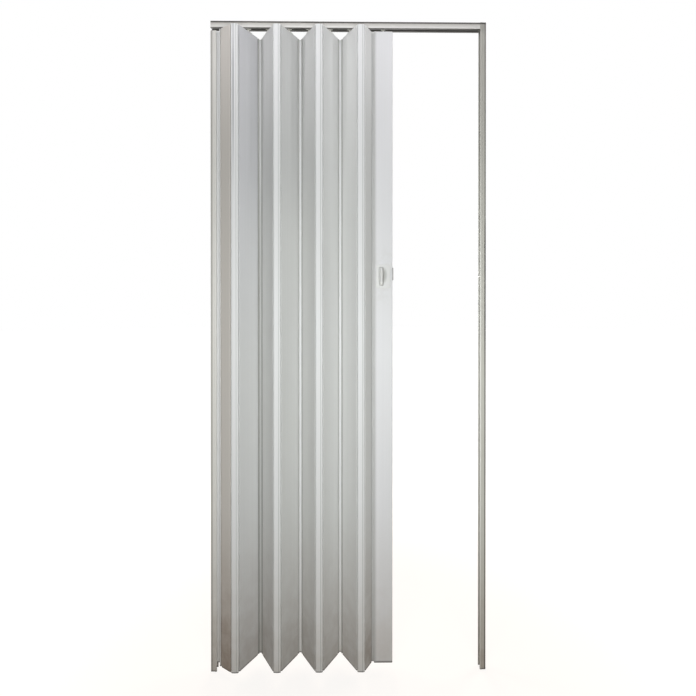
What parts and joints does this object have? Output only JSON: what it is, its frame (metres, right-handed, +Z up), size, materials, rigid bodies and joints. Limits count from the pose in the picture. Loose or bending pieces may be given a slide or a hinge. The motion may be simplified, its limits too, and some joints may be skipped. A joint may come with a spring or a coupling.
{
  "type": "accordion door",
  "caption": "Folding accordion door: hollow slats on knuckle hinge strips hang by glides from a lipped top track between channel jambs, with a lead post and a turning hook latch.",
  "frame": {"origin": "middle of the track's flat top face, which is screwed up under the lintel", "axes": "+X to the closing side along the track, +Y away from the viewer through the doorway, +Z up"},
  "size_m": [0.89, 0.0906, 2.1],
  "materials": {
    "frame_white": "satin extruded PVC, greyed white",
    "slat_grey": "satin extruded PVC, pale grey white",
    "strip_white": "satin extruded PVC, white",
    "handle_white": "moulded satin plastic, white",
    "glide_nylon": "natural nylon",
    "zinc_steel": "zinc-plated steel"
  },
  "bodies": {
    "frame": {"track": "frame_white", "left_jamb": "frame_white", "right_jamb": "frame_white", "start_profile": "strip_white", "keeper": "zinc_steel"},
    "start_link": {"start_link": "strip_white"},
    "slat_1": {"slat_1": "slat_grey"},
    "crest_1": {"crest_strip_1": "strip_white"},
    "slat_2": {"slat_2": "slat_grey", "hanger_plug_2": "glide_nylon", "glide_2": "glide_nylon"},
    "valley_1": {"valley_strip_1": "strip_white"},
    "slat_3": {"slat_3": "slat_grey", "hanger_plug_3": "glide_nylon", "glide_3": "glide_nylon"},
    "crest_2": {"crest_strip_2": "strip_white"},
    "slat_4": {"slat_4": "slat_grey", "hanger_plug_4": "glide_nylon", "glide_4": "glide_nylon"},
    "valley_2": {"valley_strip_2": "strip_white"},
    "slat_5": {"slat_5": "slat_grey", "hanger_plug_5": "glide_nylon", "glide_5": "glide_nylon"},
    "crest_3": {"crest_strip_3": "strip_white"},
    "slat_6": {"slat_6": "slat_grey", "hanger_plug_6": "glide_nylon", "glide_6": "glide_nylon"},
    "valley_3": {"valley_strip_3": "strip_white"},
    "slat_7": {"slat_7": "slat_grey", "hanger_plug_7": "glide_nylon", "glide_7": "glide_nylon"},
    "crest_4": {"crest_strip_4": "strip_white"},
    "slat_8": {"slat_8": "slat_grey"},
    "lead_post": {"lead_post": "strip_white", "lead_top_cap": "strip_white", "lead_bottom_cap": "strip_white", "lead_glide": "glide_nylon", "front_plate": "handle_white", "back_plate": "handle_white", "edge_plate": "handle_white", "plate_screw_lower": "zinc_steel", "plate_screw_upper": "zinc_steel"},
    "latch": {"front_grip": "handle_white", "back_grip": "handle_white", "spindle": "zinc_steel", "latch_hook": "zinc_steel"}
  },
  "joints": [
    {"name": "start_link_hinge", "type": "hinge", "parent": "frame", "child": "start_link", "pos_m": [-0.4126, 0, -1.054], "axis": [0, 0, -1], "range_deg": [-66.53, 37.62]},
    {"name": "slat_1_hinge", "type": "hinge", "parent": "start_link", "child": "slat_1", "pos_m": [-0.41125, -0.01544, -1.054], "axis": [0, 0, 1], "range_deg": [-42.32, 24.78]},
    {"name": "crest_1_hinge", "type": "hinge", "parent": "slat_1", "child": "crest_1", "pos_m": [-0.36735, -0.04478, -1.054], "axis": [0, 0, 1], "range_deg": [-29.21, 17.84]},
    {"name": "slat_2_hinge", "type": "hinge", "parent": "crest_1", "child": "slat_2", "pos_m": [-0.35185, -0.04478, -1.054], "axis": [0, 0, 1], "range_deg": [-46.5, 27]},
    {"name": "valley_1_hinge", "type": "hinge", "parent": "slat_2", "child": "valley_1", "pos_m": [-0.30098, 0.03664, -1.054], "axis": [0, 0, -1], "range_deg": [-46.5, 27]},
    {"name": "slat_3_hinge", "type": "hinge", "parent": "valley_1", "child": "slat_3", "pos_m": [-0.28548, 0.03664, -1.054], "axis": [0, 0, -1], "range_deg": [-46.5, 27]},
    {"name": "crest_2_hinge", "type": "hinge", "parent": "slat_3", "child": "crest_2", "pos_m": [-0.23461, -0.04478, -1.054], "axis": [0, 0, 1], "range_deg": [-46.5, 27]},
    {"name": "slat_4_hinge", "type": "hinge", "parent": "crest_2", "child": "slat_4", "pos_m": [-0.21911, -0.04478, -1.054], "axis": [0, 0, 1], "range_deg": [-46.5, 27]},
    {"name": "valley_2_hinge", "type": "hinge", "parent": "slat_4", "child": "valley_2", "pos_m": [-0.16823, 0.03664, -1.054], "axis": [0, 0, -1], "range_deg": [-46.5, 27]},
    {"name": "slat_5_hinge", "type": "hinge", "parent": "valley_2", "child": "slat_5", "pos_m": [-0.15273, 0.03664, -1.054], "axis": [0, 0, -1], "range_deg": [-46.5, 27]},
    {"name": "crest_3_hinge", "type": "hinge", "parent": "slat_5", "child": "crest_3", "pos_m": [-0.10186, -0.04478, -1.054], "axis": [0, 0, 1], "range_deg": [-46.5, 27]},
    {"name": "slat_6_hinge", "type": "hinge", "parent": "crest_3", "child": "slat_6", "pos_m": [-0.08636, -0.04478, -1.054], "axis": [0, 0, 1], "range_deg": [-46.5, 27]},
    {"name": "valley_3_hinge", "type": "hinge", "parent": "slat_6", "child": "valley_3", "pos_m": [-0.03549, 0.03664, -1.054], "axis": [0, 0, -1], "range_deg": [-46.5, 27]},
    {"name": "leaf_fold", "type": "hinge", "parent": "valley_3", "child": "slat_7", "pos_m": [-0.01999, 0.03664, -1.054], "axis": [0, 0, -1], "range_deg": [-41.5, 22]},
    {"name": "crest_4_hinge", "type": "hinge", "parent": "slat_7", "child": "crest_4", "pos_m": [0.03088, -0.04478, -1.054], "axis": [0, 0, 1], "range_deg": [-46.5, 27]},
    {"name": "slat_8_hinge", "type": "hinge", "parent": "crest_4", "child": "slat_8", "pos_m": [0.04638, -0.04478, -1.054], "axis": [0, 0, 1], "range_deg": [-46.5, 27]},
    {"name": "lead_post_hinge", "type": "hinge", "parent": "slat_8", "child": "lead_post", "pos_m": [0.07436, 0, -1.054], "axis": [0, 0, -1], "range_deg": [-46.5, 27]},
    {"name": "latch_turn", "type": "hinge", "parent": "lead_post", "child": "latch", "pos_m": [0.10536, 0, -0.8225], "axis": [0, 1, 0], "range_deg": [0, 50]}
  ],
  "couplings": [
    {"joint": "start_link_hinge", "follows": "leaf_fold", "ratio": 1.4827},
    {"joint": "slat_1_hinge", "follows": "leaf_fold", "ratio": 0.8992},
    {"joint": "crest_1_hinge", "follows": "leaf_fold", "ratio": 0.5835},
    {"joint": "slat_2_hinge", "follows": "leaf_fold", "ratio": 1},
    {"joint": "valley_1_hinge", "follows": "leaf_fold", "ratio": 1},
    {"joint": "slat_3_hinge", "follows": "leaf_fold", "ratio": 1},
    {"joint": "crest_2_hinge", "follows": "leaf_fold", "ratio": 1},
    {"joint": "slat_4_hinge", "follows": "leaf_fold", "ratio": 1},
    {"joint": "valley_2_hinge", "follows": "leaf_fold", "ratio": 1},
    {"joint": "slat_5_hinge", "follows": "leaf_fold", "ratio": 1},
    {"joint": "crest_3_hinge", "follows": "leaf_fold", "ratio": 1},
    {"joint": "slat_6_hinge", "follows": "leaf_fold", "ratio": 1},
    {"joint": "valley_3_hinge", "follows": "leaf_fold", "ratio": 1},
    {"joint": "crest_4_hinge", "follows": "leaf_fold", "ratio": 1},
    {"joint": "slat_8_hinge", "follows": "leaf_fold", "ratio": 1},
    {"joint": "lead_post_hinge", "follows": "leaf_fold", "ratio": 1}
  ]
}
